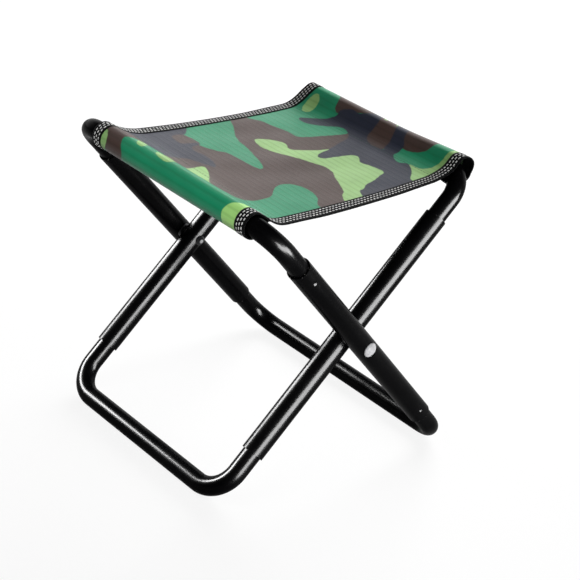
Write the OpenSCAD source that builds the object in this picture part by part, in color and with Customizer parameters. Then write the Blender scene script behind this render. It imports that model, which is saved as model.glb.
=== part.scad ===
// Folding camp stool: an outer and an inner tube frame cross on rivets,
// and a cloth seat is slung between sleeves on their top rails.
// Millimetres. +Z is up, X runs from rail to rail and Y runs along the rails.
// The origin is on the floor under the middle of the seat. The front is -Y.

/* [Tubes] */
// Outside diameter of the straight legs
leg_d = 19; // [18:0.5:24]
// Outside diameter of the bent rails, and bore of the legs they plug into
rail_d = 16; // [13:0.5:16.5]
// Wall of the bent rails
rail_wall = 1; // [0.6:0.1:2]
// Depth of each rail end inside its leg
plug = 30; // [15:1:60]
// Radius of the rail bends on the middle of the tube
bend_r = 25; // [22:1:34]

/* [Frames] */
// Distance along a leg from the rivet to the middle of a rail
reach = 163; // [155:1:200]
// Length of a straight leg
leg_len = 239; // [200:1:260]
// Lean of the opened legs from upright, in degrees
lean = 44; // [38:0.5:50]
// Distance from the middle of the stool to the middle of an outer leg
outer_half = 119; // [118:1:150]
// Space between an outer leg and the inner leg beside it
leg_gap = 1.8; // [1.2:0.1:3]

/* [Pivots] */
// Diameter of the rivet shanks
rivet_d = 6; // [4:0.5:8]
// Diameter of the domed heads outside
head_d = 12.5; // [10:0.5:15]
// Height of the domed heads
head_h = 3; // [2:0.25:4]
// Diameter of the clinched ends inside
clinch_d = 9; // [7.5:0.5:11]
// Height of the clinched ends
clinch_h = 2.2; // [1.5:0.1:3]
// Depth of the flat that is pressed into an outer leg under a head
flat_depth = 0.8; // [0.4:0.1:1]
// Diameter of the spacers between the legs
spacer_d = 13; // [10:0.5:16]

/* [Locking dents] */
// Distance of a punched dent from the end of its leg
dent_in = 14; // [8:1:28]
// Diameter of the punch
dent_d = 9; // [6:0.5:12]
// Depth of a dent
dent_depth = 0.8; // [0.3:0.1:1]

/* [Seat] */
// Half the width of the cloth along the rails
cloth_half = 89; // [72:1:89]
// Thickness of the cloth
cloth_t = 1; // [0.6:0.1:1.5]
// Room between a rail and the inside of its sleeve
sleeve_slack = 1; // [0.9:0.1:2]
// Distance from a rail to the seam that closes its sleeve
seam_in = 34; // [28:1:45]
// Overlap of the sleeve's end under the seat at the seam
seam_w = 9; // [5:1:15]
// Drop of the seams below the middle of the rails
seat_drop = 3.5; // [2:0.5:9]
// Further sag of the seat between the seams
seat_sag = 1.5; // [0.5:0.5:10]
// Width of the binding tape on each face of the cloth
tape_w = 11; // [8:1:16]
// Thickness of the binding tape
tape_t = 0.6; // [0.3:0.1:0.7]

/* [Hidden] */
$fn = 64;

leg_r = leg_d / 2;
rail_r = rail_d / 2;
rivet_r = rivet_d / 2;
// Running clearance of the rivet shank in the inner legs
shank_gap = 0.05;
// Clearance between the frames where they pass and turn on each other
pass_gap = 0.3;
// Overlap of a cutting solid past the face that it cuts
cut = 1;

inner_half = outer_half - leg_d - leg_gap;
pivot_z = rail_r + reach * cos(lean);
rail_x = reach * sin(lean);
rail_z = pivot_z + reach * cos(lean);
// Places along the legs, counted from the rivet
arm_in = leg_len / 2 - plug;
arm_out = reach - bend_r;

// Inside and middle of a sleeve's cloth, seen along the rail, and the seams
sleeve_r = rail_r + sleeve_slack;
sleeve_mid = sleeve_r + cloth_t / 2;
seam_x = rail_x - seam_in;
seam_z = rail_z - seat_drop;
// Length over which the seat curves up from the seam to the rail
seam_ease = 15;
// Step from the seat down to the flap sewn under it, which leaves room for the tape
layer_gap = cloth_t + tape_t + 0.1;
// Share of the sleeve's underside that the tape covers before the layers come together
tape_stop = 0.75;
// Edge of the cloth, which stays inside the arms of the inner rail
cloth_y = min(cloth_half, inner_half - rail_r - pass_gap - tape_t);
// The inner rail already bends down the leg inside the ends of its sleeve, which hangs lower for it
into_bend = max(0, cloth_y + tape_t - (inner_half - bend_r));
bend_drop = bend_r - sqrt(pow(bend_r - rail_r, 2) - pow(into_bend, 2));
sleeve_hang = max(0.1, bend_drop + pass_gap - (sleeve_r - tape_t));

tube_black = [0.07, 0.07, 0.08];
zinc = [0.85, 0.86, 0.88];
nylon = [0.16, 0.16, 0.17];
cloth_green = [0.16, 0.5, 0.33];
tape_black = [0.05, 0.05, 0.05];

// Frame coordinates: X runs up the leg from the rivet and Y along the rails
module outer_frame() translate([0, 0, pivot_z]) rotate([0, 270 - lean, 0]) children();
module inner_frame() translate([0, 0, pivot_z]) rotate([0, lean - 90, 0]) children();

// A rivet's own coordinates: Z runs outwards from the middle of the stool, to the front or the rear
module at_pivot(side) translate([0, 0, pivot_z]) rotate([-90 * side, 0, 0]) children();

// Straight rail, quarter bends and arms, at radius r; the arms start at arm_start
module rail_run(half, r, arm_start) {
  translate([reach, 0, 0]) rotate([90, 0, 0]) cylinder(r = r, h = 2 * (half - bend_r), center = true);
  for (side = [-1, 1]) {
    translate([arm_out, side * (half - bend_r), 0])
      rotate([0, 0, side > 0 ? 0 : -90]) rotate_extrude(angle = 90) translate([bend_r, 0]) circle(r = r);
    translate([arm_start, side * half, 0]) rotate([0, 90, 0]) cylinder(r = r, h = arm_out - arm_start);
  }
}

module bent_rail(half) {
  difference() {
    rail_run(half, rail_r, arm_in);
    rail_run(half, rail_r - rail_wall, arm_in - cut);
  }
}

module leg(y, hole_r) {
  translate([0, y, 0]) difference() {
    rotate([0, 90, 0]) cylinder(r = leg_r, h = leg_len, center = true);
    rotate([0, 90, 0]) cylinder(r = rail_r, h = leg_len + 2 * cut, center = true);
    rotate([90, 0, 0]) cylinder(r = hole_r, h = leg_d + 2 * cut, center = true);
  }
}

// An outer leg, with the flat under the rivet head and the dents that hold the rails
module outer_leg(side) {
  color(tube_black) outer_frame() difference() {
    leg(side * outer_half, rivet_r);
    translate([0, side * (outer_half + leg_r - flat_depth), 0])
      rotate([-90 * side, 0, 0]) cylinder(d = head_d + 0.5, h = flat_depth + cut);
    for (end = [-1, 1])
      translate([
        end * (leg_len / 2 - dent_in),
        side * (outer_half + leg_r + dent_d / 2 - dent_depth),
        0
      ]) sphere(d = dent_d);
  }
}

module inner_leg(side) {
  color(tube_black) inner_frame() leg(side * inner_half, rivet_r + shank_gap);
}

module outer_leg_front() outer_leg(-1);
module outer_leg_rear() outer_leg(1);
module inner_leg_front() inner_leg(-1);
module inner_leg_rear() inner_leg(1);

module outer_top_rail() color(tube_black) outer_frame() bent_rail(outer_half);
module outer_bottom_rail() color(tube_black) outer_frame() mirror([1, 0, 0]) bent_rail(outer_half);
module inner_top_rail() color(tube_black) inner_frame() bent_rail(inner_half);
module inner_bottom_rail() color(tube_black) inner_frame() mirror([1, 0, 0]) bent_rail(inner_half);

// Cap of a sphere, d across its flat and h high
module dome(d, h) {
  ball_r = (d * d / 4 + h * h) / (2 * h);
  intersection() {
    translate([0, 0, h - ball_r]) sphere(r = ball_r);
    cylinder(d = d, h = h + cut);
  }
}

module pivot_rivet(side) {
  seat = outer_half + leg_r - flat_depth;
  clinch = inner_half - leg_r - pass_gap;
  color(zinc) at_pivot(side) {
    translate([0, 0, clinch]) cylinder(r = rivet_r, h = seat - clinch);
    translate([0, 0, seat]) dome(head_d, head_h);
    translate([0, 0, clinch]) mirror([0, 0, 1]) dome(clinch_d, clinch_h);
  }
}

// A spacer is flat towards the inner leg and saddles the outer one
module pivot_spacer(side) {
  face = inner_half + leg_r + pass_gap;
  color(nylon) difference() {
    at_pivot(side) difference() {
      translate([0, 0, face]) cylinder(d = spacer_d, h = outer_half - face);
      cylinder(r = rivet_r, h = outer_half + cut);
    }
    outer_frame() translate([0, side * outer_half, 0])
      rotate([0, 90, 0]) cylinder(r = leg_r, h = leg_len, center = true);
  }
}

module pivot_rivet_front() pivot_rivet(-1);
module pivot_rivet_rear() pivot_rivet(1);
module pivot_spacer_front() pivot_spacer(-1);
module pivot_spacer_rear() pivot_spacer(1);

// The seat is one strip of cloth, drawn as a path in a plane seen along the rails.
// A point is [x, height], and a half path runs from the middle of the seat over the
// +X rail, round it and back under the seat to the end of its sewn flap.
function unit(v) = v / norm(v);
function turned(v, a) = [v[0] * cos(a) - v[1] * sin(a), v[0] * sin(a) + v[1] * cos(a)];
function polar(r, a) = r * [cos(a), sin(a)];
// Angle at which a line from point p touches the circle of radius r about c
function touch(p, c, r, side) = let (v = turned(p - c, side * acos(r / norm(p - c)))) atan2(v[1], v[0]);
function steps(count) = [for (i = [0:count]) i / count];
function panel_z(x) = seam_z - seat_sag * (1 - pow(x / seam_x, 2));
function panel_point(x, below = 0) = [x, panel_z(x) - below];
// Curve from a to c that leaves and arrives in line with b
function eased(a, b, c, s) = pow(1 - s, 2) * a + 2 * s * (1 - s) * b + s * s * c;
function flap_corner() = panel_point(seam_x, layer_gap);
// Middle of the tube in the sleeve, and the lower place that its bend takes at the ends
function tube_top() = [rail_x, rail_z];
function tube_low(hang) = tube_top() - hang * [sin(lean), cos(lean)];

// From the middle of the seat to the rail
function over_path() =
  let (
    start = panel_point(seam_x - seam_ease),
    seam = panel_point(seam_x),
    rise = unit(tube_top() + polar(sleeve_mid, touch(seam, tube_top(), sleeve_mid, -1)) - seam)
  ) concat(
    [for (s = steps(10)) panel_point(s * (seam_x - seam_ease))],
    [for (s = steps(6)) if (s > 0) eased(start, seam, seam + seam_ease * rise, s)]
  );

// Round the rail, from the top to the underside
function round_path(hang) =
  let (
    first = touch(panel_point(seam_x), tube_top(), sleeve_mid, -1),
    last = touch(flap_corner(), tube_low(hang), sleeve_mid, 1)
  ) concat(
    [for (s = steps(14)) tube_top() + polar(sleeve_mid, first + s * (-lean - first))],
    [for (s = steps(8)) if (s > 0 || hang > 0) tube_low(hang) + polar(sleeve_mid, -lean + s * (last + lean))]
  );

// Back under the seat, along the seam; stop is the share of the way up to the seam, or 1 with the flap
function under_path(hang, stop) =
  let (from = tube_low(hang) + polar(sleeve_mid, touch(flap_corner(), tube_low(hang), sleeve_mid, 1)))
  stop < 1 ? [from + stop * (flap_corner() - from)]
  : [flap_corner(), panel_point(seam_x - seam_w, layer_gap)];

function half_path(hang, stop) = concat(over_path(), round_path(hang), under_path(hang, stop));

function mirrored(path) = [for (i = [len(path) - 1:-1:1]) [-path[i][0], path[i][1]]];
function seat_path(stop) = concat(mirrored(half_path(0, stop)), half_path(sleeve_hang, stop));

// Offset of a path's corner by a unit's distance to its left
function leg_normal(path, i) = turned(unit(path[i + 1] - path[i]), 90);
function corner(path, i) =
  let (
    last = len(path) - 1,
    n0 = leg_normal(path, max(i - 1, 0)),
    n1 = leg_normal(path, min(i, last - 1))
  ) (n0 + n1) / (1 + n0 * n1);
function outline(path, t) = concat(
  [for (i = [0:len(path) - 1]) path[i] + t / 2 * corner(path, i)],
  [for (i = [len(path) - 1:-1:0]) path[i] - t / 2 * corner(path, i)]
);

// A strip t thick that follows the path, from y0 to y1 along the rails
module strip(path, t, y0, y1) {
  translate([0, y1, 0]) rotate([90, 0, 0]) linear_extrude(y1 - y0) polygon(outline(path, t));
}

module seat_cloth() color(cloth_green) strip(seat_path(1), cloth_t, -cloth_y, cloth_y);

// Tape folded over one edge of the cloth, round both sleeves as well
module binding() {
  color(tape_black) difference() {
    strip(seat_path(tape_stop), cloth_t + 2 * tape_t, cloth_y - tape_w, cloth_y + tape_t);
    strip(seat_path(1), cloth_t, cloth_y - tape_w - cut, cloth_y);
  }
}

module front_binding() mirror([0, 1, 0]) binding();
module rear_binding() binding();

outer_leg_front();
outer_leg_rear();
outer_top_rail();
outer_bottom_rail();
inner_leg_front();
inner_leg_rear();
inner_top_rail();
inner_bottom_rail();
pivot_rivet_front();
pivot_rivet_rear();
pivot_spacer_front();
pivot_spacer_rear();
seat_cloth();
front_binding();
rear_binding();
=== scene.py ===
from math import acos, atan2, cos, pi, radians, sin

import bpy
import numpy as np
from mathutils import Matrix, Vector


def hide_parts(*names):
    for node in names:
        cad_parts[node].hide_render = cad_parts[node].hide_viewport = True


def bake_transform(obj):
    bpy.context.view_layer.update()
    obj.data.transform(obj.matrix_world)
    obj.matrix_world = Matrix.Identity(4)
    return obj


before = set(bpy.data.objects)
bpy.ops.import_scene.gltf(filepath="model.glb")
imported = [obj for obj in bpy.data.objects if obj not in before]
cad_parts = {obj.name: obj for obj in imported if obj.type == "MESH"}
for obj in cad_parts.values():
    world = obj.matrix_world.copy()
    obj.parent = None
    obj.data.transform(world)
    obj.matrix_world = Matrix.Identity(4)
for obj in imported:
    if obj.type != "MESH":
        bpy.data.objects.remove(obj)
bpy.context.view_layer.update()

MM = 0.001

# Sizes of the frames in millimetres, as in the part's source
LEAN = radians(44)
REACH = 163
RAIL_R = 8
BEND_R = 25
LEG_LEN = 239
INNER_HALF = 98.2

# Sizes of the cloth and its tapes in millimetres, fitted to the photograph
CLOTH_HALF = 94
CLOTH_T = 0.6
CLOTH_SHIFT = -1.6      # how far the whole cloth sits off the middle of the rails
CLOTH_SKEW = 3.4        # how far each sleeve sits off that, to opposite sides
SLEEVE_SLACK = 1.6      # room between a rail and its sleeve
SEAM_IN = 24            # from the middle of a rail to the seam of its sleeve
SEAM_W = 9              # overlap of the sleeve's flap under the seat
SEAM_EASE = 11          # length of the soft bend on each side of a seam
SEAT_DROP = 3           # of the seams below the rails
SEAT_SAG = 2.5          # of the middle of the seat below the seams
SEAT_TWIST = 1.9        # of the corners at the seams, up and down in turn
FLAP_IN = 11            # how far a flap is drawn in at each end
TAPE_W = 11
TAPE_T = 0.35
TAPE_STOP = 0.93        # share of the way to the seam that a tape runs below a rail

# Where the seat's waves and twist end, and the length that they fade over
WAVE_TO, WAVE_FADE = 66, 30
TWIST_TO, TWIST_FADE = 108, 25

# The front end of the inner rail's sleeve stands up like a hood. It grows towards the cloth's front edge
# and on the way up to the rail, and fades past the rail's top.
HOOD_LIFT = 3.0
HOOD_INSIDE, HOOD_SPAN = 10, 84
HOOD_FROM, HOOD_RISE = 100, 15
HOOD_PAST, HOOD_FADE = 12, 10

# Past the top of the inner rail, its sleeve starts to follow the rail's bends, on this least radius
GIVE_AFTER, GIVE_EASE = 11, 7
LEAST_BEND = 6

PIVOT_Z = RAIL_R + REACH * cos(LEAN)
RAIL = np.array([REACH * sin(LEAN), PIVOT_Z + REACH * cos(LEAN)])
SLEEVE_MID = RAIL_R + SLEEVE_SLACK + CLOTH_T / 2
SEAM_X = RAIL[0] - SEAM_IN
SEAM_Z = RAIL[1] - SEAT_DROP
LAYER_GAP = CLOTH_T + TAPE_T + 0.1
BEND_FROM = INNER_HALF - BEND_R

# ---------------------------------------------------------------- camera

# Fitted to the edges of the tubes in the photograph
IMAGE_PX = 580
SENSOR = 36
FOCAL_PX = 1617.6
AZIMUTH = radians(-44.73)
ELEVATION = radians(26.42)
ROLL = radians(8.38)
DISTANCE = 1.3456
AIM = Vector((0, 0, 0.125))
OFF_RIGHT = 0.0210
OFF_UP = -0.0028

back = Vector((sin(AZIMUTH) * cos(ELEVATION), -cos(AZIMUTH) * cos(ELEVATION), sin(ELEVATION)))
right = Vector((cos(AZIMUTH), sin(AZIMUTH), 0))
up = back.cross(right)
cam = bpy.data.objects.new("camera", bpy.data.cameras.new("camera"))
cam.data.sensor_width = SENSOR
cam.data.lens = FOCAL_PX / IMAGE_PX * SENSOR
turn = Matrix((
    right * cos(ROLL) + up * sin(ROLL),
    up * cos(ROLL) - right * sin(ROLL),
    back,
)).transposed()
spot = AIM + back * DISTANCE + right * OFF_RIGHT + up * OFF_UP
cam.matrix_world = Matrix.Translation(spot) @ turn.to_4x4()
bpy.context.scene.collection.objects.link(cam)
bpy.context.scene.camera = cam

# ---------------------------------------------------------------- the seat's path

# The seat is one strip of cloth. Its path is seen along the rails, as [x, height] in millimetres,
# from the flap under the outer rail's sleeve, over the seat, to the flap of the inner rail's sleeve.


def touch(p, c, r, side):
    """Angle on the circle round c where a line from p touches it."""
    d = p - c
    a = side * acos(r / np.hypot(*d))
    return atan2(d[0] * sin(a) + d[1] * cos(a), d[0] * cos(a) - d[1] * sin(a))


def polar(c, a):
    return c + SLEEVE_MID * np.array([cos(a), sin(a)])


def panel(x, below=0.0):
    """Point of the sagging seat between the seams."""
    return np.array([x, SEAM_Z - SEAT_SAG * (1 - (x / SEAM_X) ** 2) - below])


def eased(a, b, c, s):
    """Point on the curve from a to c that bends towards b."""
    return (1 - s) ** 2 * a + 2 * s * (1 - s) * b + s * s * c


def half_path(stop):
    """From the middle of the seat round the inner rail; stop is the share of the way back to the seam."""
    seam, flap = panel(SEAM_X), panel(SEAM_X, LAYER_GAP)
    first, last = touch(seam, RAIL, SLEEVE_MID, -1), touch(flap, RAIL, SLEEVE_MID, 1)
    start = panel(SEAM_X - SEAM_EASE)
    rise = polar(RAIL, first) - seam
    end = seam + SEAM_EASE * rise / np.hypot(*rise)
    leave = polar(RAIL, last)
    path = [panel(s * (SEAM_X - SEAM_EASE)) for s in np.linspace(0, 1, 60)]
    path += [eased(start, seam, end, s) for s in np.linspace(0, 1, 24)[1:]]
    path += [end + (polar(RAIL, first) - end) * s for s in np.linspace(0, 1, 16)[1:-1]]
    path += [polar(RAIL, first + s * (last - first)) for s in np.linspace(0, 1, 80)]
    path += [leave + (flap - leave) * s for s in np.linspace(0, min(stop, 1), 20)[1:]]
    if stop >= 1:
        path += [panel(SEAM_X - SEAM_W * s, LAYER_GAP) for s in np.linspace(0, 1, 8)[1:]]
    return np.array(path)


def seat_path(stop):
    """Points of the path and their distance along the cloth from the middle of the seat."""
    half = half_path(stop)
    path = np.vstack([half[:0:-1] * [-1, 1], half])
    along = np.r_[0, np.cumsum(np.hypot(*np.diff(path, axis=0).T))]
    return path, along - along[len(half) - 1]


# Places along the cloth: its ends, the tapes' ends, where it leaves a rail below and the rail's top
PATH, ALONG = seat_path(1)
FIRST, LAST = ALONG[0], ALONG[-1]
TAPE_FROM, TAPE_TO = seat_path(TAPE_STOP)[1][[0, -1]]
ROUND_TO = seat_path(0)[1][-1]
TOP_U = ALONG[np.argmax(PATH @ [sin(LEAN), cos(LEAN)])]
step = np.gradient(PATH, axis=0)
step /= np.hypot(*step.T)[:, None]
NORMAL = np.stack([-step[:, 1], step[:, 0]], 1)
ENDS = 60   # points at each end of the path that lie below the rails
SEAM_U = float(np.interp(SEAM_X, PATH[ENDS:-ENDS, 0], ALONG[ENDS:-ENDS]))


def smooth(t):
    t = np.clip(t, 0, 1)
    return t * t * (3 - 2 * t)


def ripple(u, v):
    """How far the cloth stands off its path: soft waves, bound edges that curl down, a twist and a hood.

    The flaps under the seat follow its twist, so that the two layers stay apart.
    """
    free = smooth((WAVE_TO - np.abs(u)) / WAVE_FADE)
    wave = 0.5 * np.sin(2 * pi * v / 71 + 0.7) + 0.4 * np.sin(2 * pi * (v / 43 + u / 160) + 2.1)
    curl = smooth((np.abs(v) - CLOTH_HALF + TAPE_W) / TAPE_W)
    flap = np.abs(u) > ROUND_TO
    over = np.where(flap, SEAM_U + LAST - SEAM_W - np.abs(u), np.abs(u))
    fall = SEAT_TWIST * np.sign(u) * over * v / (SEAM_U * CLOTH_HALF) * smooth((TWIST_TO - over) / TWIST_FADE)
    twist = np.where(flap, fall, -fall)
    hood = HOOD_LIFT * smooth((-v - HOOD_INSIDE) / HOOD_SPAN)
    hood = hood * smooth((u - HOOD_FROM) / HOOD_RISE) * smooth((TOP_U + HOOD_PAST - u) / HOOD_FADE)
    return free * (0.4 * wave - 0.35 * curl ** 2) + twist + hood


def round_bend(x, y, z, share):
    """The ends of the inner rail's sleeve make way for its bends: past its top they follow it round."""
    x_off, z_off = x - RAIL[0], z - RAIL[1]
    rise = x_off * sin(LEAN) + z_off * cos(LEAN)
    across = x_off * cos(LEAN) - z_off * sin(LEAN)
    turn = np.maximum(np.abs(y) - BEND_FROM, 0) * share / BEND_R
    radius = np.maximum(BEND_R + rise, LEAST_BEND)
    rise = rise - radius * (1 - np.cos(turn))
    x = RAIL[0] + rise * sin(LEAN) + across * cos(LEAN)
    y = np.sign(y) * (np.abs(y) - BEND_R * turn + radius * np.sin(turn))
    z = RAIL[1] + rise * cos(LEAN) - across * sin(LEAN)
    return x, y, z


def on_seat(u, v, lift=0.0):
    """Place on the seat, in metres, at u along the cloth and v along the rails, lifted off its middle."""
    u, v, lift = np.broadcast_arrays(np.asarray(u, float), v, lift)
    under = smooth((np.abs(u) - ROUND_TO) / (TAPE_TO - ROUND_TO))
    v = v * (1 - under * FLAP_IN / CLOTH_HALF)
    lift = lift + ripple(u, v)
    x = np.interp(u, ALONG, PATH[:, 0]) + lift * np.interp(u, ALONG, NORMAL[:, 0])
    z = np.interp(u, ALONG, PATH[:, 1]) + lift * np.interp(u, ALONG, NORMAL[:, 1])
    y = v + CLOTH_SHIFT + CLOTH_SKEW * np.clip(u / TOP_U, -1, 1)
    share = smooth((u - TOP_U - GIVE_AFTER) / GIVE_EASE) * (1 - under ** 3)
    return np.stack(round_bend(x, y, z, share), -1) * MM


# ---------------------------------------------------------------- mesh helpers


def make_object(name, verts, faces, sharp=50):
    mesh = bpy.data.meshes.new(name)
    mesh.from_pydata([tuple(p) for p in verts], [], faces)
    mesh.validate()
    mesh.polygons.foreach_set("use_smooth", [True] * len(mesh.polygons))
    mesh.set_sharp_from_angle(angle=radians(sharp))
    obj = bpy.data.objects.new(name, mesh)
    bpy.context.scene.collection.objects.link(obj)
    return obj


def grid_faces(rows, cols, start=0, closed=False, flip=False):
    """Faces of a grid of points stored row by row; closed joins the last column to the first."""
    faces = []
    for i in range(rows - 1):
        for j in range(cols if closed else cols - 1):
            k = (j + 1) % cols
            a, b = start + i * cols + j, start + i * cols + k
            c, d = start + (i + 1) * cols + k, start + (i + 1) * cols + j
            faces.append((d, c, b, a) if flip else (a, b, c, d))
    return faces


def add_float(obj, name, values):
    layer = obj.data.attributes.new(name, "FLOAT", "POINT")
    layer.data.foreach_set("value", np.asarray(values, np.float32))


def add_flat(obj, u, v):
    """Keeps each point's place on the flat cloth, in metres, for the weave."""
    layer = obj.data.attributes.new("flat", "FLOAT_VECTOR", "POINT")
    places = np.stack([u, v, np.zeros_like(u)], -1) * MM
    layer.data.foreach_set("vector", places.astype(np.float32).ravel())


# ---------------------------------------------------------------- camouflage

# Outlines of the printed patches, as places on the cloth (across the seat, along the rails). Two light green
# streaks on the inner rail's sleeve are painted highlights drawn with them.
BROWN = [
    [(24, 99), (12, 82), (8, 74), (2, 65), (-5, 55), (-10, 44), (-12, 34), (-15, 23), (-19, 13),
     (-22, 4), (-27, -6), (-32, -8), (-35, -2), (-36, 8), (-36, 19), (-37, 29), (-42, 35), (-47, 43),
     (-51, 52), (-61, 59), (-72, 43), (-68, 18), (-76, 12), (-83, -3), (-96, -18), (-99, -25),
     (-95, -35), (-89, -46), (-77, -52), (-65, -52), (-58, -50), (-50, -43), (-42, -38), (-34, -37),
     (-27, -41), (-23, -48), (-22, -58), (-26, -70), (-35, -81), (-27, -93), (4, -93), (24, -65),
     (34, -27), (44, -6), (66, 1), (87, 7), (85, 13), (75, 17), (62, 22), (50, 26), (42, 31), (42, 39),
     (42, 48), (38, 62), (36, 72), (30, 81), (28, 99)],
    [(-99, 34), (-86, 34), (-76, 32), (-71, 22), (-69, 13), (-77, 13), (-89, 9), (-101, 5), (-104, 19)],
    [(-64, 78), (-53, 78), (-47, 68), (-47, 52), (-59, 51), (-64, 60)],
    [(88, -6), (93, -1), (102, 1), (114, 4), (130, 12), (142, 17), (155, 19), (158, 0), (147, -4),
     (138, -6), (126, -10), (114, -17), (99, -24), (88, -26), (84, -16)],
    [(99, -39), (107, -32), (118, -27), (132, -20), (143, -25), (145, -33), (137, -46), (126, -58),
     (116, -61), (106, -58), (100, -49)],
    [(101, 42), (104, 49), (116, 55), (126, 66), (134, 70), (142, 64), (138, 56), (134, 44), (135, 31),
     (128, 19), (118, 16), (111, 24), (108, 34)],
    [(-162, 100), (-149, 84), (-140, 78), (-132, 77), (-124, 82), (-118, 100), (-97, 100), (-98, 77),
     (-101, 58), (-105, 48), (-112, 55), (-118, 63), (-126, 60), (-132, 56), (-140, 59), (-152, 72)],
    [(-172, -16), (-158, -22), (-152, -39), (-161, -51), (-184, -45)],
    [(158, -52), (171, -46), (179, -62), (172, -81), (160, -75)],
    [(165, 29), (176, 39), (192, 31), (192, 12), (174, 10)],
]
LIME_AND_RIDGE_HIGHLIGHTS = [
    [(6, 42), (14, 38), (20, 31), (22, 24), (18, 16), (20, 11), (28, 6), (38, 1), (48, -2), (64, -7),
     (66, -28), (64, -57), (48, -66), (34, -79), (24, -94), (-11, -93), (-5, -76), (2, -70), (8, -59),
     (14, -47), (20, -38), (22, -26), (18, -17), (14, -7), (8, 5), (2, 17), (0, 28), (2, 37)],
    [(-75, 13), (-76, 7), (-83, -4), (-92, -14), (-99, -22), (-105, -17), (-109, -9), (-104, 0),
     (-96, 7), (-85, 12)],
    [(-118, 9), (-118, 17), (-116, 25), (-110, 28), (-101, 27), (-104, 15), (-111, 8)],
    [(-118, 42), (-117, 48), (-110, 54), (-104, 54), (-108, 47), (-114, 42)],
    [(86, 71), (89, 76), (97, 79), (107, 78), (105, 72), (98, 68), (89, 67)],
    [(85, -60), (85, -68), (89, -75), (101, -79), (131, -80), (142, -85), (139, -100), (62, -95),
     (66, -79), (75, -72), (80, -65)],
    # Painted highlights: two thin light green streaks near the top of the inner rail's sleeve
    [(117, 0), (123, 6), (130, 13), (134, 14), (129, 7), (122, 1)],
    [(116, -15), (121, -11), (129, -5), (132, -6), (125, -11), (119, -14)],
    [(-164, 109), (-149, 94), (-140, 82), (-132, 77), (-126, 78), (-122, 83), (-124, 92), (-142, 109)],
    [(171, -10), (182, -4), (194, -15), (180, -29)],
]
PALE = [
    [(-178, -63), (-154, -65), (-140, -69), (-126, -69), (-118, -73), (-112, -79), (-107, -88),
     (-108, -110), (-178, -110)],
]
DARK = [
    [(73, 62), (83, 54), (88, 47), (97, 41), (104, 42), (109, 34), (109, 24), (117, 15), (127, 13),
     (114, 4), (102, 1), (93, -1), (88, -6), (85, -14), (86, -25), (88, -35), (83, -43), (80, -51),
     (84, -58), (80, -66), (73, -73), (66, -79), (56, -95), (10, -94), (14, -76), (20, -74), (28, -69),
     (38, -67), (48, -63), (56, -60), (58, -54), (56, -41), (54, -35), (60, -26), (58, -20), (50, -17),
     (40, -15), (32, -13), (30, -9), (36, -5), (46, -3), (56, 0), (68, 4), (79, 7), (86, 14), (89, 22),
     (87, 30), (80, 38), (73, 46), (70, 54)],
    [(87, -37), (89, -27), (99, -24), (114, -17), (126, -10), (138, -6), (152, -4), (160, -12),
     (152, -21), (142, -19), (132, -20), (122, -25), (108, -31), (101, -37), (93, -39)],
    [(-34, 87), (-42, 77), (-47, 73), (-52, 75), (-60, 73), (-63, 64), (-62, 57), (-54, 55), (-46, 53),
     (-50, 51), (-58, 49), (-61, 41), (-59, 33), (-60, 20), (-65, 10), (-69, 16), (-73, 24), (-77, 31),
     (-89, 35), (-98, 34), (-101, 46), (-98, 62), (-97, 75), (-95, 100), (-33, 100)],
    [(134, 54), (145, 62), (155, 66), (163, 54), (161, 29), (152, 18), (139, 15), (132, 25), (136, 37)],
    [(-166, 22), (-157, 11), (-158, -10), (-172, -9), (-184, 7)],
    [(158, -31), (172, -27), (182, -39), (168, -44)],
]


def rounded(points, per=5):
    """Closed curve through the points (Catmull-Rom)."""
    p = np.array(points, float)
    a, b, c, d = np.roll(p, 1, 0), p, np.roll(p, -1, 0), np.roll(p, -2, 0)
    t = np.linspace(0, 1, per, endpoint=False)[None, :, None]
    a, b, c, d = (q[:, None, :] for q in (a, b, c, d))
    second, third = 2 * a - 5 * b + 4 * c - d, 3 * b - a - 3 * c + d
    curve = 0.5 * (2 * b + (c - a) * t + second * t ** 2 + third * t ** 3)
    return curve.reshape(-1, 2)


def depth_in(points, ring):
    """Distance of each point from the ring, positive inside."""
    near = np.full(len(points), 1e9)
    inside = np.zeros(len(points), bool)
    for p, q in zip(ring, np.roll(ring, -1, 0)):
        d = q - p
        t = np.clip(((points - p) @ d) / (d @ d + 1e-12), 0, 1)
        near = np.minimum(near, np.hypot(*(points - p - t[:, None] * d).T))
        if p[1] != q[1]:
            crosses = (p[1] > points[:, 1]) != (q[1] > points[:, 1])
            inside ^= crosses & (points[:, 0] < p[0] + (points[:, 1] - p[1]) / (q[1] - p[1]) * d[0])
    return np.where(inside, near, -near)


def patches(u, v, outlines):
    """Depth of each place in the nearest patch of one ink, in millimetres, negative outside."""
    places = np.stack([u, v], 1)
    return np.max([depth_in(places, rounded(o)) for o in outlines], axis=0)


# ---------------------------------------------------------------- cloth


# The cloth's mesh is fine on the sleeves and coarser on the seat between them
SLEEVE_FROM = 90
SLEEVE_STEP, SEAT_STEP = 1.1, 2.0
ACROSS_POINTS = 90
TAPE_POINTS = 300

# Past the tapes' ends the cloth's edge turns black over this length
BOUND_EASE = 2


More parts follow.
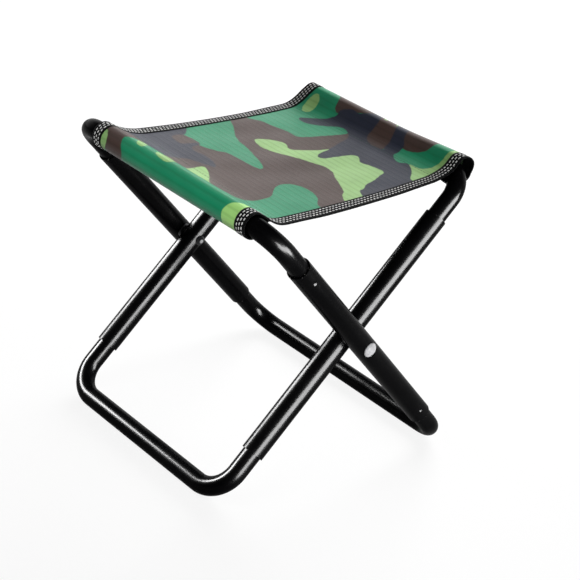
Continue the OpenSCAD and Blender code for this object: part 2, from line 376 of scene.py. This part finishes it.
def make_cloth():
    """The sheet, as a closed thin slab, with the depth of its places in the printed patches and in two
    painted highlights.
    """
    arcs = np.r_[
        np.arange(FIRST, -SLEEVE_FROM, SLEEVE_STEP),
        np.arange(-SLEEVE_FROM, SLEEVE_FROM, SEAT_STEP),
        np.arange(SLEEVE_FROM, LAST, SLEEVE_STEP), LAST,
    ]
    across = np.linspace(-CLOTH_HALF, CLOTH_HALF, ACROSS_POINTS)
    u, v = (q.ravel() for q in np.meshgrid(arcs, across, indexing="ij"))
    rows, cols = len(arcs), len(across)
    verts = np.vstack([on_seat(u, v, CLOTH_T / 2), on_seat(u, v, -CLOTH_T / 2)])
    n = rows * cols
    faces = grid_faces(rows, cols, flip=True) + grid_faces(rows, cols, n)
    for i in range(rows - 1):
        a, b = i * cols, (i + 1) * cols
        faces.append((a, b, n + b, n + a))
        a, b = a + cols - 1, b + cols - 1
        faces.append((b, a, n + a, n + b))
    for j in range(cols - 1):
        faces.append((j + 1, j, n + j, n + j + 1))
        k = (rows - 1) * cols + j
        faces.append((k, k + 1, n + k + 1, n + k))
    obj = make_object("seat_sheet", verts, faces)
    for name, outlines in (("brown", BROWN), ("lime_and_highlights", LIME_AND_RIDGE_HIGHLIGHTS), ("pale", PALE), ("dark", DARK)):
        depth = patches(u, v, outlines) * MM
        add_float(obj, name, np.r_[depth, depth])
    # Marks the underside, which the material darkens, partly as painted shade for the inside of the sleeves
    add_float(obj, "underside", np.r_[np.zeros(n), np.ones(n)])
    by_edge = smooth((np.abs(v) - CLOTH_HALF + TAPE_W) / BOUND_EASE)
    bound = by_edge * smooth((np.abs(u) - TAPE_TO + BOUND_EASE) / BOUND_EASE)
    add_float(obj, "bound", np.r_[bound, bound])
    add_flat(obj, np.r_[u, u], np.r_[v, v])
    return obj


def make_tape(name, side):
    """Binding folded over one edge of the cloth: a channel swept along the cloth's edge."""
    top, crown = CLOTH_T / 2, TAPE_T
    edge, inner = CLOTH_HALF, CLOTH_HALF - TAPE_W
    # (distance from the middle of the cloth, place along the rails), round the section
    section = [(top + 0.05, inner), (top + 0.45 * crown, inner + 0.15), (top + 0.85 * crown, inner + 0.8)]
    section += [(top + crown, inner + s * (TAPE_W - 0.6)) for s in np.linspace(0.2, 1, 7)]
    section += [(0.92 * (top + crown), edge + 0.15), (0.6 * (top + crown), edge + 0.85 * crown)]
    outer = section + [(0, edge + crown)] + [(-a, b) for a, b in section[::-1]]
    inside = [(-top, inner), (-top, edge), (top, edge), (top, inner)]
    loop = np.array(outer + inside)
    arcs = np.linspace(TAPE_FROM, TAPE_TO, TAPE_POINTS)
    u = np.repeat(arcs, len(loop))
    v = np.tile(loop[:, 1], len(arcs)) * side
    verts = on_seat(u, v, np.tile(loop[:, 0], len(arcs)))
    k = len(loop)
    faces = grid_faces(len(arcs), k, closed=True, flip=side < 0)
    ends = [tuple(range(k))[::-1], tuple(range((len(arcs) - 1) * k, len(arcs) * k))]
    faces += [f[::-1] for f in ends] if side < 0 else ends
    obj = make_object(name, verts, faces, 60)
    add_flat(obj, u, v)
    return obj


def make_threads(name, runs, width, height):
    """Short threads on the cloth: each run is (u0, v0, u1, v1, lift), with lift to its foot."""
    verts, faces = [], []
    profile = [(-1, -0.4), (-0.62, 0.75), (0.62, 0.75), (1, -0.4)]
    stations = [(0, 0.55, 0.2), (0.12, 0.95, 0.8), (0.5, 1, 1), (0.88, 0.95, 0.8), (1, 0.55, 0.2)]
    for u0, v0, u1, v1, lift in runs:
        length = np.hypot(u1 - u0, v1 - v0)
        pu, pv = -(v1 - v0) / length * width / 2, (u1 - u0) / length * width / 2
        way = 1 if lift > 0 else -1
        base = len(verts)
        uu, vv, ll = [], [], []
        for s, wide, tall in stations:
            for across, rise in profile:
                uu.append(u0 + s * (u1 - u0) + across * wide * pu)
                vv.append(v0 + s * (v1 - v0) + across * wide * pv)
                ll.append(lift + way * height * (rise * tall if rise > 0 else rise))
        verts.extend(on_seat(np.array(uu), np.array(vv), np.array(ll)))
        m = len(profile)
        faces += grid_faces(len(stations), m, base, closed=True, flip=way > 0)
        last = base + (len(stations) - 1) * m
        caps = [tuple(range(base, base + m)), tuple(range(last, last + m))[::-1]]
        faces += caps if way > 0 else [c[::-1] for c in caps]
    return make_object(name, verts, faces, 70)


# Rows of woven dashes on the tape
DASH_PITCH = 3.4
DASH_LEN = 2.1
DASH_ROWS = (3.0, 5.7, 8.4)
DASH_W = 1.25
DASH_H = 0.22


def dash_runs(side):
    runs = []
    for row, inset in enumerate(DASH_ROWS):
        v = side * (CLOTH_HALF - TAPE_W + inset)
        start = TAPE_FROM + 1 + row * DASH_PITCH / len(DASH_ROWS)
        for u in np.arange(start, TAPE_TO - DASH_LEN - 1, DASH_PITCH):
            runs.append((u, v, u + DASH_LEN, v, CLOTH_T / 2 + TAPE_T))
            if abs(u) < SEAM_U - SEAM_W - 3:
                runs.append((u, v, u + DASH_LEN, v, -CLOTH_T / 2 - TAPE_T))
    return runs


# A row of stitches closes each sleeve, and shows on the seat and on the flap under it
STITCH_PITCH = 3.4
STITCH_LEN = 2.7
STITCH_IN = 4.5
STITCH_W = 0.4
STITCH_H = 0.18


def stitch_runs():
    runs = []
    reach = CLOTH_HALF - TAPE_W - 1
    for side in (-1, 1):
        end = FIRST if side < 0 else LAST
        for v in np.arange(-reach, reach - STITCH_LEN, STITCH_PITCH):
            for u in (side * (SEAM_U - STITCH_IN), end - side * (SEAM_W - STITCH_IN)):
                runs.append((u, v, u, v + STITCH_LEN, CLOTH_T / 2))
    return runs


cloth = make_cloth()
EDGES = ((-1, "front_tape"), (1, "rear_tape"))
tapes = {side: make_tape(name, side) for side, name in EDGES}
dashes = {side: make_threads(name + "_weave", dash_runs(side), DASH_W, DASH_H) for side, name in EDGES}
stitches = make_threads("sleeve_stitches", stitch_runs(), STITCH_W, STITCH_H)

# ---------------------------------------------------------------- materials


class Nodes:
    """The nodes of a material or of the world, made and joined in short lines."""

    def __init__(self, owner, shader="Principled BSDF"):
        owner.use_nodes = True
        self.owner = owner
        self.tree = owner.node_tree
        self.shader = self.tree.nodes[shader]

    def add(self, kind, **inputs):
        props = inputs.pop("props", {})
        node = self.tree.nodes.new(kind)
        for key, value in props.items():
            setattr(node, key, value)
        for key, value in inputs.items():
            self.put(node.inputs[key.replace("_", " ")], value)
        return node

    def put(self, socket, value):
        if isinstance(value, bpy.types.NodeSocket):
            self.tree.links.new(value, socket)
        else:
            socket.default_value = value

    def set(self, **inputs):
        for key, value in inputs.items():
            self.put(self.shader.inputs[key.replace("_", " ")], value)

    def math(self, operation, *values, clamp=False):
        node = self.tree.nodes.new("ShaderNodeMath")
        node.operation, node.use_clamp = operation, clamp
        for socket, value in zip(node.inputs, values):
            self.put(socket, value)
        return node.outputs[0]

    def ramp(self, value, low, high, to_low=0.0, to_high=1.0):
        node = self.add("ShaderNodeMapRange", Value=value)
        node.interpolation_type = "SMOOTHSTEP"
        for key, number in (("From Min", low), ("From Max", high), ("To Min", to_low), ("To Max", to_high)):
            node.inputs[key].default_value = number
        return node.outputs["Result"]

    def mix(self, factor, a, b, blend="MIX"):
        node = self.tree.nodes.new("ShaderNodeMix")
        node.data_type, node.blend_type = "RGBA", blend
        for socket, value in zip((node.inputs[0], node.inputs[6], node.inputs[7]), (factor, a, b)):
            self.put(socket, value)
        return node.outputs[2]

    def noise(self, place, scale, detail=3.0, rough=0.5):
        node = self.add("ShaderNodeTexNoise", Vector=place, Scale=scale, Detail=detail, Roughness=rough)
        return node.outputs["Fac"]

    def attribute(self, name, output):
        return self.add("ShaderNodeAttribute", props={"attribute_name": name}).outputs[output]

    def place(self):
        return self.add("ShaderNodeTexCoord").outputs["Object"]

    def split(self, vector):
        node = self.add("ShaderNodeSeparateXYZ", Vector=vector)
        return node.outputs[0], node.outputs[1], node.outputs[2]

    def wave(self, value, pitch, shift=0.0):
        turned = self.math("MULTIPLY_ADD", value, 2 * pi / pitch, shift)
        return self.math("SINE", turned)

    def bump(self, height, distance, strength=1.0, under=None):
        node = self.add("ShaderNodeBump", Height=height, Distance=distance, Strength=strength)
        if under is not None:
            self.put(node.inputs["Normal"], under)
        return node.outputs["Normal"]


def new_material(name):
    return Nodes(bpy.data.materials.new(name))


def rgb(r, g, b):
    """A colour as it shows on screen, 0 to 255, as the linear colour that shaders take."""
    def linear(c):
        c /= 255
        return c / 12.92 if c <= 0.04045 else ((c + 0.055) / 1.055) ** 2.4
    return linear(r), linear(g), linear(b), 1.0


GREEN = rgb(22, 148, 104)
BROWN_INK = rgb(78, 58, 52)
LIME_AND_HIGHLIGHT_INK = rgb(156, 202, 124)
PALE_INK = rgb(178, 236, 136)
DARK_INK = rgb(38, 43, 62)
TAPE_INK = rgb(7, 7, 8)

# Pitches of the cloth's fine weave and of its cords, in metres
WEAVE_PITCH = 0.0009
CORD_PITCH = 0.0062


def cloth_material():
    n = new_material("printed_cloth")
    flat = n.attribute("flat", "Vector")
    u, v, _ = n.split(flat)
    wander = n.math("MULTIPLY_ADD", n.noise(flat, 260.0, 2.0), 0.0014, -0.0007)
    colour = GREEN
    for name, ink in (("brown", BROWN_INK), ("lime_and_highlights", LIME_AND_HIGHLIGHT_INK), ("pale", PALE_INK), ("dark", DARK_INK)):
        edge = n.math("ADD", n.attribute(name, "Fac"), wander)
        colour = n.mix(n.ramp(edge, -0.0012, -0.0002), colour, ink)
    # Cords run along the rails every few millimetres, over a fine plain weave
    drift = n.math("MULTIPLY_ADD", n.noise(flat, 35.0, 1.0), 0.0012, u)
    cords = n.ramp(n.wave(drift, CORD_PITCH), 0.1, 1.0)
    weave = n.math("MULTIPLY", n.wave(u, WEAVE_PITCH), n.wave(v, WEAVE_PITCH))
    fade = n.noise(flat, 22.0, 4.0, 0.6)
    colour = n.mix(n.math("MULTIPLY", cords, 0.3), colour, rgb(184, 208, 190), "MULTIPLY")
    colour = n.mix(n.ramp(fade, 0.3, 0.75, 0.0, 0.16), colour, rgb(40, 44, 42), "MULTIPLY")
    # The underside shows the print dimmed, as the back of a printed cloth, and darkened further to nearly
    # black as painted shade for the inside of the sleeves.
    under = n.attribute("underside", "Fac")
    colour = n.mix(n.math("MULTIPLY", under, 0.94), colour, rgb(36, 42, 38))
    colour = n.mix(n.attribute("bound", "Fac"), colour, TAPE_INK)
    normal = n.bump(weave, 0.00006, 0.4)
    normal = n.bump(cords, 0.0001, 0.3, normal)
    n.set(Base_Color=colour, Roughness=n.ramp(fade, 0.2, 0.8, 0.27, 0.35), Normal=normal, IOR=1.56)
    return n.owner


def tape_material():
    n = new_material("binding_tape")
    flat = n.attribute("flat", "Vector")
    u, v, _ = n.split(flat)
    weft = n.math("MULTIPLY", n.wave(u, 0.0008), n.wave(v, 0.0011))
    ribs = n.wave(v, 0.0026)
    lint = n.noise(flat, 900.0, 3.0)
    colour = n.mix(n.ramp(lint, 0.45, 0.85), TAPE_INK, rgb(24, 24, 26))
    normal = n.bump(n.math("ADD", weft, n.math("MULTIPLY", ribs, 0.6)), 0.00010, 0.6)
    n.set(Base_Color=colour, Roughness=n.ramp(lint, 0.3, 0.8, 0.5, 0.66), Normal=normal)
    n.set(IOR=1.45, Specular_IOR_Level=0.2)
    return n.owner


def thread_material(name, light, dark, rough):
    n = new_material(name)
    place = n.place()
    fuzz = n.noise(place, 1600.0, 2.0)
    colour = n.mix(n.ramp(fuzz, 0.3, 0.7), light, dark)
    n.set(Base_Color=colour, Roughness=n.ramp(fuzz, 0.2, 0.8, rough - 0.08, rough + 0.08))
    n.set(Normal=n.bump(fuzz, 0.00008, 0.5), Sheen_Weight=0.1)
    return n.owner


def tube_material(name, lean):
    """Gloss black paint, chipped at the ends of the legs and rubbed where the tubes stand."""
    n = new_material(name)
    place = n.place()
    x, y, z = n.split(place)
    along = n.math("ADD", n.math("MULTIPLY", x, sin(lean)),
                   n.math("MULTIPLY", n.math("SUBTRACT", z, PIVOT_Z * MM), cos(lean)))
    peel = n.noise(place, 260.0, 1.0)
    cloudy = n.noise(place, 34.0, 4.0, 0.6)
    chip = n.noise(place, 420.0, 3.0, 0.65)
    far = n.math("ABSOLUTE", n.math("SUBTRACT", n.math("ABSOLUTE", along), LEG_LEN / 2 * MM))
    worn = n.math("MULTIPLY", n.ramp(far, 0.0010, 0.0001), n.ramp(chip, 0.56, 0.66))
    stood = n.math("MULTIPLY", n.ramp(z, 0.0013, 0.0002), n.ramp(chip, 0.47, 0.6))
    bare = n.math("MULTIPLY", n.math("MAXIMUM", worn, stood), 0.75)
    colour = n.mix(n.ramp(cloudy, 0.35, 0.8), rgb(4, 4, 5), rgb(9, 9, 10))
    colour = n.mix(bare, colour, rgb(92, 90, 88))
    rough = n.math("ADD", n.ramp(cloudy, 0.3, 0.8, 0.2, 0.27), n.math("MULTIPLY", bare, 0.3))
    n.set(Base_Color=colour, Roughness=rough, Normal=n.bump(peel, 0.000008, 0.2), IOR=1.12)
    return n.owner


def rivet_material():
    """Zinc with turned marks. The heads darken towards their rim, and the clinched ends inside the frames are
    dark round a small bright middle: both are painted shade.
    """
    n = new_material("rivet_zinc")
    place = n.place()
    x, y, z = n.split(place)
    radius = n.math("SQRT", n.math("ADD", n.math("POWER", x, 2.0),
                                   n.math("POWER", n.math("SUBTRACT", z, PIVOT_Z * MM), 2.0)))
    turned = n.wave(radius, 0.0007)
    stain = n.noise(place, 500.0, 4.0, 0.6)
    colour = n.mix(n.ramp(stain, 0.42, 0.75), rgb(228, 228, 230), rgb(206, 207, 210))
    # Painted shade: darker grey towards the rim of each head
    colour = n.mix(n.ramp(radius, 0.0052, 0.0063), colour, rgb(150, 150, 152))
    # Painted shade: the clinched ends inside the frames turn dark outside a small bright middle
    clinched = n.math("LESS_THAN", n.math("ABSOLUTE", y), INNER_HALF * MM)
    colour = n.mix(n.math("MULTIPLY", clinched, n.ramp(radius, 0.0012, 0.0022)), colour, rgb(46, 46, 48))
    n.set(Base_Color=colour, Metallic=0.3, Roughness=n.ramp(stain, 0.3, 0.8, 0.34, 0.44))
    n.set(Normal=n.bump(n.math("MULTIPLY_ADD", turned, 0.4, stain), 0.00002, 0.12))
    return n.owner


def nylon_material():
    n = new_material("spacer_nylon")
    place = n.place()
    grain = n.noise(place, 1500.0, 3.0)
    smudge = n.noise(place, 160.0, 3.0)
    colour = n.mix(n.ramp(smudge, 0.3, 0.75), rgb(30, 30, 32), rgb(50, 50, 53))
    n.set(Base_Color=colour, Roughness=n.ramp(smudge, 0.3, 0.8, 0.42, 0.58))
    n.set(Normal=n.bump(grain, 0.00004, 0.5))
    return n.owner


def dress(names, material):
    """Gives nodes of the frame their material."""
    for name in names:
        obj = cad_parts[name]
        if not obj.material_slots:
            obj.data.materials.append(material)
        for place in obj.material_slots:
            place.material = material


outer = tube_material("outer_tube_paint", -LEAN)
inner = tube_material("inner_tube_paint", LEAN)
OUTER_TUBES = ["outer_leg_front", "outer_leg_rear", "outer_top_rail", "outer_bottom_rail"]
INNER_TUBES = ["inner_leg_front", "inner_leg_rear", "inner_top_rail", "inner_bottom_rail"]
dress(OUTER_TUBES, outer)
dress(INNER_TUBES, inner)
dress(["pivot_rivet_front", "pivot_rivet_rear"], rivet_material())
dress(["pivot_spacer_front", "pivot_spacer_rear"], nylon_material())

cloth.data.materials.append(cloth_material())
tape_black = tape_material()
dash_white = thread_material("tape_dash", rgb(240, 240, 238), rgb(214, 215, 214), 0.6)
seam_thread = thread_material("sleeve_thread", rgb(84, 112, 98), rgb(58, 84, 72), 0.6)
for side in (-1, 1):
    tapes[side].data.materials.append(tape_black)
    dashes[side].data.materials.append(dash_white)
stitches.data.materials.append(seam_thread)

# ---------------------------------------------------------------- in place of the part's cloth and bindings

for obj in (cloth, *tapes.values(), *dashes.values(), stitches):
    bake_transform(obj)
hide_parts("seat_cloth")
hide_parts("front_binding")
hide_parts("rear_binding")

# ---------------------------------------------------------------- floor and light


FLOOR_HALF = 6.0

# The floor is white to the camera. Mirrors see it dimmed, and it throws little light up at the stool.
FLOOR_SEEN = (0.95, 0.95, 0.95, 1)
FLOOR_STRAY = (0.2, 0.2, 0.2, 1)
FLOOR_GLOW = 0.88
FLOOR_IN_MIRRORS = 0.12


def make_floor():
    h = FLOOR_HALF
    mesh = bpy.data.meshes.new("floor")
    mesh.from_pydata([(-h, -h, 0), (h, -h, 0), (h, h, 0), (-h, h, 0)], [], [(0, 1, 2, 3)])
    obj = bpy.data.objects.new("floor", mesh)
    bpy.context.scene.collection.objects.link(obj)
    n = new_material("floor_white")
    path = n.add("ShaderNodeLightPath").outputs
    shiny = n.math("MAXIMUM", path["Is Glossy Ray"], path["Is Transmission Ray"])
    seen = n.math("MAXIMUM", path["Is Camera Ray"], n.math("MULTIPLY", shiny, FLOOR_IN_MIRRORS))
    paint = n.add("ShaderNodeBsdfDiffuse", Color=n.mix(seen, FLOOR_STRAY, FLOOR_SEEN))
    glow = n.add("ShaderNodeEmission")
    mixed = n.add("ShaderNodeMixShader", Fac=n.math("MULTIPLY", seen, FLOOR_GLOW))
    n.put(mixed.inputs[1], paint.outputs[0])
    n.put(mixed.inputs[2], glow.outputs[0])
    n.put(n.tree.nodes["Material Output"].inputs["Surface"], mixed.outputs[0])
    n.tree.nodes.remove(n.shader)
    mesh.materials.append(n.owner)


# Way to the white backdrop that the seat and the tubes mirror, and the dim studio round it
BACKDROP = (0.704, 0.711, 0)
STUDIO_MIRRORED = 0.03
STUDIO_LIGHT = 0.06


def make_world():
    """White behind the stool for the camera and for reflections, which fade to a dim studio elsewhere."""
    world = bpy.data.worlds.new("studio")
    bpy.context.scene.world = world
    n = Nodes(world, "Background")
    way = n.add("ShaderNodeTexCoord").outputs["Generated"]
    facing = n.add("ShaderNodeVectorMath", Vector=way, props={"operation": "DOT_PRODUCT"})
    facing.inputs[1].default_value = BACKDROP
    wide = n.ramp(facing.outputs["Value"], 0.1, 0.6)
    low = n.ramp(n.split(way)[2], 0.44, 0.62, 1.0, 0.0)
    mirrored = n.math("MAXIMUM", n.math("MULTIPLY", wide, low), STUDIO_MIRRORED)
    path = n.add("ShaderNodeLightPath").outputs
    shiny = n.math("MAXIMUM", path["Is Glossy Ray"], path["Is Transmission Ray"])
    plain = n.math("MULTIPLY", n.math("SUBTRACT", 1, shiny), STUDIO_LIGHT)
    unseen = n.math("ADD", plain, n.math("MULTIPLY", shiny, mirrored))
    n.set(Color=(1, 1, 1, 1), Strength=n.math("MAXIMUM", unseen, path["Is Camera Ray"]))


def softbox(name, place, aim, size, power):
    """A soft lamp that lights the paint and the cloth but leaves no mirror image of itself."""
    data = bpy.data.lights.new(name, "AREA")
    data.shape = "RECTANGLE"
    data.size, data.size_y = size
    data.energy = power
    obj = bpy.data.objects.new(name, data)
    obj.location = place
    obj.rotation_euler = (Vector(aim) - Vector(place)).to_track_quat("-Z", "Y").to_euler()
    obj.visible_camera = False
    obj.visible_glossy = False
    bpy.context.scene.collection.objects.link(obj)
    return obj


def strip_box(name, place, aim, size, power, tubes):
    """A strip lamp that only shows as a streak along the gloss paint of the tubes that it is given."""
    lit = bpy.data.collections.new(name + "_tubes")
    for tube in tubes:
        lit.objects.link(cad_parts[tube])
    obj = softbox(name, place, aim, size, power)
    obj.visible_glossy, obj.visible_diffuse = True, False
    obj.light_linking.receiver_collection = lit


make_floor()
make_world()

# Each lamp's place, aim and size in metres, and its power in watts. The sleeve box hangs close over
# the outer rail's sleeve, so that it lights little else.
softbox("key_box", (1.40, 0.75, 0.95), (0, 0, 0.15), (1.3, 1.3), 66)
softbox("top_box", (-0.1, -0.1, 1.8), (0, 0, 0.15), (1.2, 1.2), 1)
softbox("left_box", (-1.9, -1.0, 0.08), (0, 0, 0.2), (1.2, 0.15), 0.8)
softbox("sleeve_box", (-0.315, -0.04, 0.42), (-0.12, 0, 0.245), (0.3, 0.06), 0.45)
softbox("front_box", (-0.1, -1.6, 0.1), (0, 0, 0.12), (0.9, 0.16), 24)

REAR_LIT = ["outer_bottom_rail", "inner_leg_front", "inner_leg_rear", "inner_top_rail"]
strip_box("front_strip", (0.13, -1.3, 0.17), (0, 0, 0.14), (1.4, 0.9), 630, OUTER_TUBES + INNER_TUBES)
strip_box("rear_strip", (-0.42, 1.40, 0.95), (0, 0, 0.1), (0.8, 0.9), 330, REAR_LIT)
strip_box("low_strip", (-0.90, 1.42, 0.92), (-0.11, 0.03, 0.01), (0.55, 0.6), 300, ["inner_bottom_rail"])

bpy.context.scene.view_settings.view_transform = "Standard"
